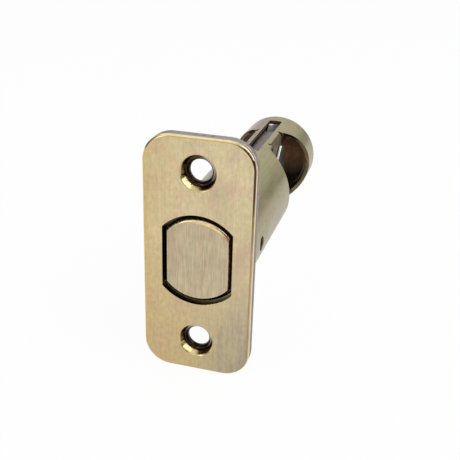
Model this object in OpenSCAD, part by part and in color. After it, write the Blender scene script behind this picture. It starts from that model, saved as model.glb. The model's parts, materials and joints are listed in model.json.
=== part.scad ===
// Tubular deadbolt latch, shown with its bolt retracted. Millimetres.
// The origin is the centre of the faceplate's front face.
// +X is to the right seen from the front, +Y runs into the door along the tube, +Z is up.

/* [Plates] */
// Width of the faceplate and the back plate
plate_w = 25.4; // [25:0.1:32]
// Height of the faceplate and the back plate
plate_h = 57.15; // [54:0.05:64]
// Radius of the plate corners
plate_corner_r = 6.35; // [3:0.05:10]
// Width of the back plate on each side of the tube
plate_land = 1.2; // [0.8:0.05:1.6]
// Thickness of the brass faceplate
face_t = 1.5; // [1.2:0.1:2]
// Thickness of the steel back plate
back_t = 1.6; // [1.4:0.1:3]
// Bevel round the front edge of the faceplate
face_bevel = 0.4; // [0.2:0.05:0.7]
// Bevel on the edges that meet between the two plates
joint_bevel = 0.2; // [0.1:0.05:0.4]

/* [Screw holes] */
// Distance of the screw centres from the ends of the plates
screw_inset = 7.925; // [6.8:0.005:9]
// Radius of the through holes
screw_r = 2.55; // [2.2:0.05:2.8]
// Radius of the countersinks at the front face
sink_r = 4.15; // [3.6:0.05:4.8]
// Depth at which a countersink meets its through hole
sink_depth = 2.2; // [1.8:0.1:2.6]

/* [Bolt] */
// Distance that the bolt is thrown
throw = 25.4; // [22:0.1:26]
// Width of the bolt between its two flats
bolt_w = 15; // [13:0.1:16]
// Radius of the corners between the flats and the round sides
bolt_corner = 1.5; // [0.8:0.1:2.5]
// Chamfer round the bolt's front face
bolt_chamfer = 0.4; // [0.2:0.05:1]
// How far the retracted bolt's face lies behind the faceplate's face
bolt_recess = 0.3; // [0:0.05:0.8]
// Length of the round stop collar at the bolt's rear
collar_len = 4; // [3:0.5:6]
// Radius of the roller pin inside the bolt
roller_r = 2.8; // [2:0.1:3]
// How far the tongue in the bolt lies inside the bolt's round sides
tongue_cover = 2.95; // [2:0.05:4]
// Thickness of brass in front of the roller pin
bolt_nose = 3.2; // [2.5:0.1:6]
// Length of the plug behind the roller pin
plug_len = 2; // [1.5:0.1:4]

/* [Tube] */
// Thickness of the tube's sheet
tube_wall = 1; // [0.8:0.05:1.2]
// How much the tube's end is turned down where it is staked in the back plate
spigot_step = 0.3; // [0.15:0.05:0.5]
// Distance from the faceplate's front to the hub's axis
backset = 60.3; // [58:0.1:72]
// How much larger the radius of the round side openings is than the tube's
opening_over = 2.75; // [2:0.05:3]
// How far the openings' centre lies in front of the hub's axis
opening_lead = 1.8; // [0:0.1:2.2]
// Radius of the openings' corners beside the folded ears
opening_corner = 7.5; // [5:0.1:8.5]
// Distance of the ears' outer faces from the middle plane
fold_x = 4.1; // [4:0.05:4.6]
// Outer radius of the bend between the tube's sheet and an ear
bend_r = 1.7; // [1.6:0.05:2]
// Width of an ear round the hub's bore
ear_wall = 1.72; // [1.2:0.02:2.5]
// How far the fold of an ear runs in front of the hub's axis
fold_front = 6; // [5:0.1:7]
// How far the fold of an ear runs behind the hub's axis
fold_rear = 4.9; // [4:0.1:5.2]
// Radius of the relief notches at the ends of an ear's fold
notch_r = 0.5; // [0.3:0.05:0.7]
// Radius of the small hole in each side of the tube
side_hole_r = 1.75; // [1:0.05:2.2]
// Distance of that hole behind the bolt guide
side_hole_gap = 0.15; // [0:0.05:6]
// Width of the long slot on top
slot_w = 3.8; // [3.6:0.1:4.4]
// Length of the slot behind the crank's tip
slot_spare = 1; // [0.5:0.1:2]

/* [Bolt guide and end cap] */
// Length of the bolt guide
guide_len = 9.6; // [8:0.1:14]
// Distance of the bolt guide behind the faceplate
guide_inset = 0.7; // [0.2:0.1:1.6]
// Wall of the guide at the bolt's round sides
guide_wall = 0.48; // [0.4:0.02:0.9]
// Thickness of the end cap's disc
cap_t = 1.1; // [1:0.1:2]
// Wall of the end cap's skirt
skirt_wall = 0.85; // [0.6:0.05:1.1]
// Length of the end cap's skirt
skirt_len = 5; // [4.4:0.1:6]

/* [Tail bar and crank] */
// Thickness of the tail bar's sheet
tail_t = 1; // [0.8:0.05:1.2]
// Height of the tail bar's deep sides below the hub's axis
tail_drop = 5; // [3:0.1:6]
// Length of the tail bar's tongue inside the bolt
tongue_len = 8; // [7:0.1:10]
// Radius of the two pins through the bolt and the tongue
tail_pin_r = 1.25; // [1:0.05:1.5]
// Sheet of the tongue between a pin and the edge
pin_edge = 1.5; // [1:0.1:2]
// Gap in the tail bar's web behind the bolt
web_relief = 1; // [0.5:0.1:3]
// Outer radius of the two folds along the tail bar
tail_bend = 1.2; // [1:0.1:1.6]
// Sheet left behind the window in the tail bar
tail_lip = 1.2; // [1:0.1:2]
// Thickness of the crank
crank_t = 3; // [2.4:0.1:3.2]
// Radius of the crank's round tip, and half the width of its arm
crank_tip_r = 1.6; // [1.3:0.05:1.8]
// Room between the crank's round boss and the tail bar's web
boss_room = 2.1; // [1.5:0.1:3]
// Depth of the two flats on the boss where the spring holds it
flat_depth = 0.2; // [0.1:0.05:0.4]

/* [Hub] */
// Wall of the hub beyond the ends of the tailpiece slot
hub_wall = 1.5; // [1:0.1:1.7]
// How far the round end of the hub's cam plates stands out past its bearing
cam_rim = 0.7; // [0.5:0.1:1]
// Room between the far end of the cam plates and the tube
cam_room = 0.85; // [0.5:0.05:1.4]
// Thickness of the hub's cam plates
cam_t = 0.8; // [0.5:0.1:1.2]
// Length of the slot that takes the lock's tailpiece
tail_slot_l = 6.6; // [5.6:0.1:7]
// Width of the slot that takes the lock's tailpiece
tail_slot_w = 2.4; // [1.8:0.1:2.6]
// Radius of the rivets through the hub
hub_rivet_r = 0.7; // [0.5:0.05:0.8]
// How far the hub's rivets stand out of the cam plates
hub_rivet_out = 0.2; // [0.1:0.05:0.4]

/* [Detent spring] */
// Width of the spring leaf
spring_w = 4.8; // [3.6:0.1:5]
// Thickness of the spring leaf
spring_t = 0.4; // [0.3:0.05:0.5]
// Length of the bow in front of and behind the hub's axis
bow_len = 12.3; // [10:0.1:12.5]
// Length of the spring's flat toe
toe_len = 1.5; // [0.5:0.1:2.5]
// Radius of the rivet that holds the spring and the end cap
spring_rivet_r = 1.2; // [0.8:0.05:1.3]
// How far the rivet's two heads stand out round its shank
rivet_rim = 0.8; // [0.4:0.05:0.9]
// Height of the rivet's two heads
rivet_head_h = 0.6; // [0.4:0.05:0.7]

/* [Clearances] */
// Gap between pieces that are pressed or seated together
seat_gap = 0.05; // [0.02:0.01:0.08]
// Gap between a shaft and the bore that it turns in
run_gap = 0.08; // [0.04:0.01:0.1]
// Gap between the bolt and its guide
guide_gap = 0.12; // [0.08:0.01:0.2]
// Gap beside the tail bar, and between its top and the tube
tail_gap = 0.2; // [0.15:0.01:0.3]
// Gap between moving pieces and their stops
stop_gap = 0.3; // [0.2:0.05:0.5]
// Gap between the hub and the tail bar that passes over it
hub_gap = 0.6; // [0.3:0.05:1]
// Gap between the crank's boss and the crown of the spring
detent_gap = 0.15; // [0.1:0.01:0.3]
// Gap between the faceplate's opening and the flats of the bolt
face_gap = 0.62; // [0.3:0.01:0.9]
// Gap between the faceplate's opening and the round sides of the bolt
face_round_gap = 1.08; // [0.4:0.01:1.2]

/* [Hidden] */
$fn = 96;
// How far a cut runs past the face that it opens
cut = 0.5;
// Angle by which the arc at a corner of the side openings stops short of the round
corner_short = 6;
// Steps in which the arcs round the outside and the inside of the sheet's folds are drawn
outer_steps = 8;
inner_steps = 6;

tube_r = plate_w / 2 - plate_land;
tube_in = tube_r - tube_wall;
spigot_r = tube_r - spigot_step;
tube_start = face_t;
plates_t = face_t + back_t;
screw_z = plate_h / 2 - screw_inset;

// Bolt guide, in the mouth of the tube
guide_r = tube_in - seat_gap;
guide_start = face_t + guide_inset;
guide_end = guide_start + guide_len;
bolt_r = guide_r - guide_wall - guide_gap;

// Bolt: the stop collar meets the guide's rear end when the bolt is thrown
collar_start = guide_end + stop_gap + throw;
bolt_end = collar_start + collar_len;
collar_r = tube_in - tail_gap;
bore_r = roller_r + run_gap;
bore_start = bolt_recess + bolt_nose;

// Hub, which turns in the ears
hub_r = tail_slot_l / 2 + hub_wall;
ear_bore_r = hub_r + run_gap;
ear_r = ear_bore_r + ear_wall;
cam_start = fold_x + run_gap;
cam_end = cam_start + cam_t;
cam_r = hub_r + cam_rim;
cam_reach = sqrt(pow(tube_in, 2) - pow(cam_end, 2)) - cam_room;
hub_rivet_y = (tail_slot_w / 2 + hub_r) / 2;
hub_rivet_end = cam_end + hub_rivet_out;

// Tail bar: a folded channel that runs between the ears
tail_x = fold_x - tube_wall - tail_gap;
tail_inner_x = tail_x - tail_t;
tail_top = sqrt(pow(tube_in, 2) - pow(tail_x, 2)) - tail_gap;
web_under = tail_top - tail_t;
tongue_slot_x = tail_x + seat_gap;
tongue_start = bolt_end - tongue_len;
tongue_slot_start = tongue_start - stop_gap;
tongue_top = bolt_r - tongue_cover;
deep_end = backset - hub_r - hub_gap;
shallow_z = hub_r + hub_gap;
web_start = bolt_end + web_relief;
tail_pin_y = tongue_start + pin_edge + tail_pin_r;
tail_pin_half = bolt_w / 2 - seat_gap;
tail_pin_top_z = tongue_top - pin_edge - tail_pin_r;
tail_pin_low_z = tail_pin_r + pin_edge - tail_drop;

// Crank: its tip lies in the middle of the tail bar's web at both ends of the throw
boss_r = web_under - boss_room;
tip_z = tail_top - tail_t / 2;
half_swing = atan(throw / 2 / tip_z);
crank_reach = sqrt(pow(throw / 2, 2) + pow(tip_z, 2));
// Room that the arm needs on each side in the web, at an angle a from upright
function arm_room(a) = crank_tip_r / cos(a) + throw / 2 * a / half_swing - web_under * tan(a);
window_half = max([for (a = [0 : 1 : half_swing]) arm_room(a)]) + tail_gap;
window_mid = backset + throw / 2;
tail_end = window_mid + window_half + tail_lip;

// Tube: its end follows the tail bar and the end cap behind it
cap_face = tail_end + stop_gap;
tube_end = cap_face + cap_t;
slot_wall_z = sqrt(pow(tube_in, 2) - pow(crank_t / 2, 2));
tip_in_slot = sqrt(max(0.01, pow(crank_tip_r, 2) - pow(slot_wall_z - tip_z, 2)));
slot_start = backset - throw / 2 - tip_in_slot - stop_gap;
slot_end = backset + throw / 2 + tip_in_slot + slot_spare;
opening_r = tube_r + opening_over;
opening_y = backset - opening_lead;
fold_z = sqrt(pow(tube_r, 2) - pow(fold_x, 2));
bend_x = fold_x - bend_r;
bend_z = sqrt(pow(tube_r - bend_r, 2) - pow(bend_x, 2));
bend_turn = atan2(bend_z, bend_x);
ear_top = sqrt(pow(tube_in, 2) - pow(fold_x - tube_wall, 2)) + tube_wall / 4;
notch_half = 0.8 * notch_r;
notch_x = tube_r * cos(bend_turn) + notch_half;
notch_front = backset - fold_front - 1.2 * notch_r;
notch_rear = backset + fold_rear + 1.2 * notch_r;
side_hole_y = guide_end + side_hole_gap + side_hole_r;

// End cap and spring
cap_r = tube_in - seat_gap;
skirt_start = cap_face - skirt_len;
skirt_r = cap_r - skirt_wall;
cap_notch_x = tail_x + stop_gap;
rivet_y = skirt_start + skirt_len / 2;
spring_seat = -sqrt(pow(skirt_r, 2) - pow(spring_w / 2, 2)) + seat_gap;
spring_crown = -boss_r - detent_gap - spring_t;
spring_toe = -sqrt(pow(tube_in, 2) - pow(spring_w / 2, 2)) + seat_gap;
spring_front = backset - bow_len - toe_len;
rivet_head_r = spring_rivet_r + rivet_rim;
spring_rear = rivet_y + rivet_head_r;

// Shared shapes

// Extrudes an outline drawn in X and Z from y0 to y1
module along_y(y0, y1) {
    translate([0, y1, 0]) rotate([90, 0, 0]) linear_extrude(height = y1 - y0) children();
}

// Extrudes an outline drawn in Y and Z from x0 to x1
module along_x(x0, x1) {
    translate([x0, 0, 0]) rotate([90, 0, 90]) linear_extrude(height = x1 - x0) children();
}

// A rod along Y from y0 to y1
module rod_y(r, y0, y1) {
    translate([0, y0, 0]) rotate([-90, 0, 0]) cylinder(r = r, h = y1 - y0);
}

// A rod along X from x0 to x1, at the given height
module rod_x(r, x0, x1, y, z = 0) {
    translate([x0, y, z]) rotate([0, 90, 0]) cylinder(r = r, h = x1 - x0);
}

// Points on an arc round the centre c, from the angle a0 to a1 in n steps
function arc(c, r, a0, a1, n) =
    [for (i = [0 : n]) let (a = a0 + (a1 - a0) * i / n) c + r * [cos(a), sin(a)]];

// A line of points whose first and last stretch run on to k times their length
function run_on(line, k) = let (n = len(line) - 1)
    [for (i = [0 : n]) i == 0 ? line[1] + k * (line[0] - line[1])
        : i == n ? line[n - 1] + k * (line[n] - line[n - 1]) : line[i]];

// A circle cut flat at h above and below its centre, with rounded corners
module flatted_circle(r, h, corner) {
    side = sqrt(pow(r - corner, 2) - pow(h - corner, 2));
    rise = 2 * r * (h - corner) / side;
    square([2 * side, 2 * h], center = true);
    intersection() {
        circle(r = r);
        for (s = [-1, 1])
            polygon([[0, 0], [s * 2 * r, rise], [s * 2 * r, -rise]]);
    }
    for (sx = [-1, 1], sy = [-1, 1])
        translate([sx * side, sy * (h - corner)]) circle(r = corner);
}

// The bolt's double-D outline, grown by g
module double_d(g = 0) {
    rotate(90) flatted_circle(bolt_r + g, bolt_w / 2 + g, bolt_corner);
}

// One layer of a plate with round corners, its outline shrunk by a at y0 and by b at y1
module plate_layer(y0, y1, a, b) {
    t = y1 - y0;
    flat_x = plate_w / 2 - plate_corner_r;
    flat_z = plate_h / 2 - plate_corner_r;
    for (sx = [-1, 1], sz = [-1, 1])
        translate([sx * flat_x, y0, sz * flat_z]) rotate([-90, 0, 0])
            cylinder(r1 = plate_corner_r - a, r2 = plate_corner_r - b, h = t);
    translate([0, 0, -flat_z]) linear_extrude(height = 2 * flat_z)
        polygon([[-plate_w / 2 + a, y0], [plate_w / 2 - a, y0],
            [plate_w / 2 - b, y1], [-plate_w / 2 + b, y1]]);
    along_x(-flat_x, flat_x)
        polygon([[y0, -plate_h / 2 + a], [y0, plate_h / 2 - a],
            [y1, plate_h / 2 - b], [y1, -plate_h / 2 + b]]);
}

// The two countersunk screw holes, which run through both plates
module screw_holes() {
    slope = (sink_r - screw_r) / sink_depth;
    for (s = [-1, 1])
        translate([0, 0, s * screw_z]) {
            rod_y(screw_r, -cut, plates_t + cut);
            translate([0, -cut, 0]) rotate([-90, 0, 0])
                cylinder(r1 = sink_r + cut * slope, r2 = screw_r, h = sink_depth + cut);
        }
}

// The outside of the tube, grown by g: its front end is turned down and tapers to full size
// where it seats in the back plate
module tube_outside(g, y0, y1) {
    rotate([-90, 0, 0]) rotate_extrude()
        polygon([[0, y0], [spigot_r + g, y0], [spigot_r + g, plates_t - spigot_step],
            [tube_r + g, plates_t], [tube_r + g, y1], [0, y1]]);
}

// The slot for the tailpiece, upright when the bolt is retracted
module tailpiece_slot() {
    translate([0, backset, 0])
        cube([2 * (cam_end + cut), tail_slot_w, tail_slot_l], center = true);
}

// The two rivet holes through the hub
module hub_rivet_holes() {
    for (s = [-1, 1])
        rod_x(hub_rivet_r + seat_gap / 2, -cam_end - cut, cam_end + cut,
            backset + s * hub_rivet_y);
}

// Plates

module faceplate() {
    color("#cdbd93")
    difference() {
        union() {
            plate_layer(0, face_bevel, face_bevel, 0);
            plate_layer(face_bevel, face_t - joint_bevel, 0, 0);
            plate_layer(face_t - joint_bevel, face_t, 0, joint_bevel);
        }
        along_y(-cut, face_t + cut) intersection() {
            circle(r = bolt_r + face_round_gap);
            square([bolt_w + 2 * face_gap, 4 * bolt_r], center = true);
        }
        screw_holes();
    }
}

module back_plate() {
    color("#97908f")
    difference() {
        union() {
            plate_layer(face_t, face_t + joint_bevel, joint_bevel, 0);
            plate_layer(face_t + joint_bevel, plates_t, 0, 0);
        }
        tube_outside(seat_gap, 0, plates_t + cut);
        screw_holes();
    }
}

// Tube and what is fixed in it

// One ear: a round lug with the hub's bore, on a leg that is folded from the tube's sheet
module ear() {
    centre = [bend_x, bend_z];
    inner = run_on(arc(centre, bend_r - tube_wall, 0, bend_turn, inner_steps), 2);
    mid_sheet = centre + (bend_r - tube_wall / 2) * [cos(bend_turn / 2), sin(bend_turn / 2)];
    difference() {
        union() {
            along_x(fold_x - tube_wall, fold_x) translate([backset, 0]) circle(r = ear_r);
            along_y(backset - fold_front, backset + fold_rear)
                translate([fold_x - tube_wall, 0]) square([tube_wall, ear_top]);
            along_y(backset - fold_front, backset + fold_rear) polygon(concat(inner, [mid_sheet]));
        }
        rod_x(ear_bore_r, 0, fold_x + cut, backset);
    }
}

// The sheet outside the bend of an ear
module bend_outside() {
    outer = run_on(arc([bend_x, bend_z], bend_r, 0, bend_turn, outer_steps), 3);
    along_y(notch_front, notch_rear)
        polygon(concat(outer, [[outer[outer_steps].x, tube_r + cut], [fold_x + cut, tube_r + cut],
            [fold_x + cut, outer[0].y]]));
}

// A relief notch at the end of an ear's fold, open towards the side opening
module fold_notch(y) {
    translate([notch_x, y, ear_r]) cylinder(r = notch_r, h = tube_r);
    translate([notch_x, y - notch_half, ear_r])
        cube([fold_x + cut - notch_x, 2 * notch_half, tube_r]);
}

// A round hole that is trimmed at the ear's fold, with its corners rounded there
module opening_outline() {
    h = fold_z + stop_gap;
    inner_r = opening_r - opening_corner;
    mid = [sqrt(pow(inner_r, 2) - pow(h - opening_corner, 2)), h - opening_corner];
    low = atan2(mid.y, mid.x) + corner_short;
    corner = arc(mid, opening_corner, 90, low, outer_steps);
    far = corner[outer_steps] + opening_r * [sin(low), -cos(low)];
    upper = concat(corner, [far]);
    right = concat(upper, [for (i = [len(upper) - 1 : -1 : 0]) [upper[i].x, -upper[i].y]]);
    left = [for (i = [len(right) - 1 : -1 : 0]) [-right[i].x, right[i].y]];
    intersection() {
        circle(r = opening_r);
        polygon(concat(right, left));
    }
}

// One side opening, cut from the ear's outer face outward, with the relief notches of its fold
module side_opening() {
    along_x(fold_x, tube_r + cut) translate([opening_y, 0]) opening_outline();
    bend_outside();
    fold_notch(notch_front);
    fold_notch(notch_rear);
    rod_x(side_hole_r, 0, tube_r + cut, side_hole_y);
}

module tube() {
    color("#a5a07d")
    difference() {
        union() {
            difference() {
                tube_outside(0, tube_start, tube_end);
                rod_y(tube_in, tube_start - cut, tube_end + cut);
            }
            ear();
            mirror([1, 0, 0]) ear();
        }
        side_opening();
        mirror([1, 0, 0]) side_opening();
        translate([-slot_w / 2, slot_start, 0])
            cube([slot_w, slot_end - slot_start, tube_r + cut]);
        translate([0, rivet_y, -tube_r - cut])
            cylinder(r = spring_rivet_r + seat_gap, h = tube_wall + 2 * cut);
        translate([0, rivet_y, -tube_r]) cylinder(
            r1 = rivet_head_r + seat_gap, r2 = spring_rivet_r + seat_gap, h = rivet_head_h);
    }
}

module bolt_guide() {
    color("#2c2a28")
    difference() {
        rod_y(guide_r, guide_start, guide_end);
        along_y(guide_start - cut, guide_end + cut) double_d(guide_gap);
    }
}

module end_cap() {
    color("#3f2d1e")
    difference() {
        rod_y(cap_r, skirt_start, tube_end);
        rod_y(skirt_r, skirt_start - cut, cap_face);
        translate([-cap_notch_x, skirt_start - cut, 0])
            cube([2 * cap_notch_x, cap_face - skirt_start + cut, cap_r + cut]);
        translate([0, rivet_y, -cap_r - cut])
            cylinder(r = spring_rivet_r + seat_gap, h = skirt_wall + 2 * cut);
    }
}

// The leaf's underside at a distance d from the hub's axis, down to the level z
function bow(d, z) = z + (spring_crown - z) * (1 + cos(180 * min(1, abs(d) / bow_len))) / 2;

module detent_spring() {
    steps = 24;
    front = [for (i = [0 : steps]) let (d = -bow_len + i * bow_len / steps)
        [backset + d, bow(d, spring_toe)]];
    rear = [for (i = [1 : steps]) let (d = i * bow_len / steps)
        [backset + d, bow(d, spring_seat)]];
    line = concat([[spring_front, spring_toe]], front, rear, [[spring_rear, spring_seat]]);
    last = len(line) - 1;
    color("#8d8f92")
    difference() {
        along_x(-spring_w / 2, spring_w / 2)
            polygon(concat(line, [for (i = [0 : last]) line[last - i] + [0, spring_t]]));
        translate([0, rivet_y, spring_seat - cut])
            cylinder(r = spring_rivet_r + seat_gap, h = spring_t + 2 * cut);
    }
}

module spring_rivet() {
    head_z = spring_seat + spring_t + seat_gap;
    color("#b4b4b0")
    intersection() {
        translate([0, rivet_y, 0]) union() {
            translate([0, 0, -tube_r])
                cylinder(r = spring_rivet_r, h = tube_r + head_z + rivet_head_h);
            translate([0, 0, -tube_r]) cylinder(r1 = rivet_head_r, r2 = spring_rivet_r,
                h = rivet_head_h);
            translate([0, 0, head_z]) cylinder(r1 = rivet_head_r, r2 = spring_rivet_r,
                h = rivet_head_h);
        }
        rod_y(tube_r, skirt_start - cut, tube_end);
    }
}

// Bolt

// The space that the bolt's chamfered front may fill
module bolt_front_form() {
    side = bolt_w / 2;
    y1 = bolt_recess + bolt_chamfer;
    intersection() {
        union() {
            translate([0, bolt_recess, 0]) rotate([-90, 0, 0])
                cylinder(r1 = bolt_r - bolt_chamfer, r2 = bolt_r, h = bolt_chamfer);
            rod_y(bolt_r, y1, bolt_end);
        }
        translate([0, 0, -bolt_r]) linear_extrude(height = 2 * bolt_r)
            polygon([[-side + bolt_chamfer, bolt_recess], [side - bolt_chamfer, bolt_recess],
                [side, y1], [side, bolt_end], [-side, bolt_end], [-side, y1]]);
    }
}

module bolt() {
    color("#beaf8c")
    difference() {
        union() {
            intersection() {
                along_y(bolt_recess, bolt_end) double_d();
                bolt_front_form();
            }
            rod_y(collar_r, collar_start, bolt_end);
        }
        rod_y(bore_r, bore_start, bolt_end);
        translate([-tongue_slot_x, tongue_slot_start, -collar_r - cut])
            cube([2 * tongue_slot_x, bolt_end, 2 * (collar_r + cut)]);
        for (z = [tail_pin_top_z, tail_pin_low_z])
            rod_x(tail_pin_r + seat_gap / 2, -bolt_w, bolt_w, tail_pin_y, z);
    }
}

module roller_pin() {
    color("#c9cbcf")
    rod_y(roller_r, bore_start + run_gap, tongue_slot_start - plug_len - 2 * run_gap);
}

module pin_plug() {
    color("#beaf8c")
    rod_y(bore_r - seat_gap / 2, tongue_slot_start - plug_len, tongue_slot_start);
}

module tail_pin(z) {
    color("#b4b4b0")
    rod_x(tail_pin_r, -tail_pin_half, tail_pin_half, tail_pin_y, z);
}

module tail_pin_upper() {
    tail_pin(tail_pin_top_z);
}

module tail_pin_lower() {
    tail_pin(tail_pin_low_z);
}

// The tail bar's outside, with its two long folds rounded
module tail_section() {
    side = tail_x - tail_bend;
    top = tail_top - tail_bend;
    low = -tail_drop - cut;
    along_y(tongue_start - cut, tail_end + cut)
        polygon(concat([[tail_x, low]], arc([side, top], tail_bend, 0, 90, inner_steps),
            arc([-side, top], tail_bend, 90, 180, inner_steps), [[-tail_x, low]]));
}

module tail_bar() {
    color("#8a8486")
    difference() {
        intersection() {
            tail_section();
            // Side outline: tongue, deep sides in front of the hub, shallow sides above it
            along_x(-tail_x - cut, tail_x + cut)
                polygon([[tongue_start, -tail_drop], [deep_end, -tail_drop], [deep_end, shallow_z],
                    [tail_end, shallow_z], [tail_end, tube_r], [web_start, tube_r],
                    [web_start, tongue_top], [tongue_start, tongue_top]]);
        }
        // Inside of the channel, below the web and in front of it
        translate([-tail_inner_x, tongue_start - cut, -tail_drop - cut])
            cube([2 * tail_inner_x, tail_end, tail_drop + cut + web_under]);
        translate([-tail_inner_x, tongue_start - cut, -tail_drop])
            cube([2 * tail_inner_x, web_start - tongue_start + cut, 2 * tube_r]);
        // Window for the crank's tip
        translate([-tail_inner_x, window_mid - window_half, 0])
            cube([2 * tail_inner_x, 2 * window_half, tube_r]);
        for (z = [tail_pin_top_z, tail_pin_low_z])
            rod_x(tail_pin_r + seat_gap / 2, -bolt_w, bolt_w, tail_pin_y, z);
    }
}

// Hub and crank

module crank_arm() {
    color("#a9a9a6")
    difference() {
        translate([-crank_t / 2, backset, 0]) rotate([-half_swing, 0, 0]) difference() {
            union() {
                rotate([0, 90, 0]) cylinder(r = boss_r, h = crank_t);
                translate([0, -crank_tip_r, 0]) cube([crank_t, 2 * crank_tip_r, crank_reach]);
                translate([0, 0, crank_reach]) rotate([0, 90, 0])
                    cylinder(r = crank_tip_r, h = crank_t);
            }
            for (s = [-1, 1])
                rotate([s * half_swing, 0, 0])
                    translate([-cut, -boss_r, -boss_r - cut])
                        cube([crank_t + 2 * cut, 2 * boss_r, cut + flat_depth]);
        }
        tailpiece_slot();
        hub_rivet_holes();
    }
}

// A cam plate's outline, pointing up: round below, with two flanks and a round far end
module cam_outline() {
    intersection() {
        circle(r = cam_reach);
        union() {
            circle(r = cam_r);
            translate([-cam_r, 0]) square([2 * cam_r, cam_reach]);
        }
    }
}

module hub_half() {
    color("#b9b9b4")
    difference() {
        union() {
            rod_x(hub_r, crank_t / 2, cam_end, backset);
            along_x(cam_start, cam_end) translate([backset, 0]) rotate(-half_swing) cam_outline();
        }
        tailpiece_slot();
        hub_rivet_holes();
    }
}

module hub_right() {
    hub_half();
}

module hub_left() {
    mirror([1, 0, 0]) hub_half();
}

module hub_rivet(s) {
    color("#8d8f92")
    rod_x(hub_rivet_r, -hub_rivet_end, hub_rivet_end, backset + s * hub_rivet_y);
}

module hub_rivet_front() {
    hub_rivet(-1);
}

module hub_rivet_rear() {
    hub_rivet(1);
}

faceplate();
back_plate();
tube();
bolt_guide();
end_cap();
detent_spring();
spring_rivet();
bolt();
roller_pin();
pin_plug();
tail_bar();
tail_pin_upper();
tail_pin_lower();
crank_arm();
hub_right();
hub_left();
hub_rivet_front();
hub_rivet_rear();
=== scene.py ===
import json
from math import hypot, radians

import bmesh
import bpy
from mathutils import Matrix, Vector


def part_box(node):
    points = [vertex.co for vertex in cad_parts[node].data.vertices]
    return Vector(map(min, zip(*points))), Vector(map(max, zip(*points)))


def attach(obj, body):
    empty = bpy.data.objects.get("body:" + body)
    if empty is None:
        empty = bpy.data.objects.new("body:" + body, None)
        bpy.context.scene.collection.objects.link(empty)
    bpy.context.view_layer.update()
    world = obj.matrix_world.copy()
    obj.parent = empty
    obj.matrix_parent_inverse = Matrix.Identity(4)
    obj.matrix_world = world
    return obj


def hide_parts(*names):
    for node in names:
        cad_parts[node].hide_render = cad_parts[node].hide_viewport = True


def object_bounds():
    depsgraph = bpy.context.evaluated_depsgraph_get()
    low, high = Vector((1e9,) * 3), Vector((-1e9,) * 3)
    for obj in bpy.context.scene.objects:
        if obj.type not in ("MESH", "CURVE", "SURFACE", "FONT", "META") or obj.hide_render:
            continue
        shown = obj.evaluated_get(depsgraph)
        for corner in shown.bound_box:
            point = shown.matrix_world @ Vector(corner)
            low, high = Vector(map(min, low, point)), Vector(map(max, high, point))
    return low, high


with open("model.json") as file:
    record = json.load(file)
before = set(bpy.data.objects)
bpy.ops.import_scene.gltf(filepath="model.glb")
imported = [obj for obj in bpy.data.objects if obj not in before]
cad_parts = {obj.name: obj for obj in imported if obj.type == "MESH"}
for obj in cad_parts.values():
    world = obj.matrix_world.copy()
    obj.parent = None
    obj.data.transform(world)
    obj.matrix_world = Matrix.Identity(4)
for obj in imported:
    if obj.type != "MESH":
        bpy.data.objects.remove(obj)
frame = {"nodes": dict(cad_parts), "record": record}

CAD_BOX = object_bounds()
MM = 0.001
scene = bpy.context.scene
scene.view_settings.view_transform = "Standard"

# Camera
# The viewpoint was fitted to the plate's corners, holes and bolt opening:
# it looks down on the faceplate from above and a little to its right.
VIEW_PLACE = Vector((46.796, -143.542, 76.688)) * MM
VIEW_TURN = (radians(65.4704), radians(-1.6749), radians(16.1065))
VIEW_LENS = 59.7483

view_data = bpy.data.cameras.new("latch_view")
view_data.sensor_width = 36.0
view_data.lens = VIEW_LENS
view_data.clip_start = 0.01
view_data.clip_end = 10.0
view = bpy.data.objects.new("latch_view", view_data)
view.location = VIEW_PLACE
view.rotation_euler = VIEW_TURN
scene.collection.objects.link(view)
scene.camera = view

# Table top
# The latch stands on the lower end of its plates, on a smooth white table.
# The table keeps a trace of shadow, and metal mirrors it as nearly white.
TABLE_REACH = 3.0
TABLE_GAP = 0.02
TABLE_GREY = 0.82
TABLE_GLOW = 0.95
WHITE = (1, 1, 1, 1)


def new_node(tree, kind, **values):
    """Adds a node to a tree and sets its attributes."""
    node = tree.nodes.new(kind)
    for name, value in values.items():
        setattr(node, name, value)
    return node


def feed(tree, socket, value):
    """Sets a socket to a value or links an output to it."""
    if isinstance(value, bpy.types.NodeSocket):
        tree.links.new(value, socket)
    else:
        socket.default_value = value


def sums(tree, operation, first, second=None, clamp=False):
    """One step of arithmetic between numbers or outputs."""
    node = new_node(tree, "ShaderNodeMath", operation=operation, use_clamp=clamp)
    feed(tree, node.inputs[0], first)
    if second is not None:
        feed(tree, node.inputs[1], second)
    return node.outputs[0]


def product(tree, first, *others):
    """Numbers or outputs multiplied with each other."""
    for other in others:
        first = sums(tree, "MULTIPLY", first, other)
    return first


def seen_or_mirrored(tree):
    """1 for rays that the eye, metal or glass sends, 0 for those that carry the light."""
    rays = new_node(tree, "ShaderNodeLightPath").outputs
    first = sums(tree, "MAXIMUM", rays["Is Camera Ray"], rays["Is Glossy Ray"])
    return sums(tree, "MAXIMUM", first, rays["Is Transmission Ray"])


table_mesh = bpy.data.meshes.new("table_top")
table_z = CAD_BOX[0].z - TABLE_GAP * MM
corners = [(x * TABLE_REACH, y * TABLE_REACH, table_z)
           for x, y in ((-1, -1), (1, -1), (1, 1), (-1, 1))]
table_mesh.from_pydata(corners, [], [(0, 1, 2, 3)])
table_top = bpy.data.objects.new("table_top", table_mesh)
scene.collection.objects.link(table_top)

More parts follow.
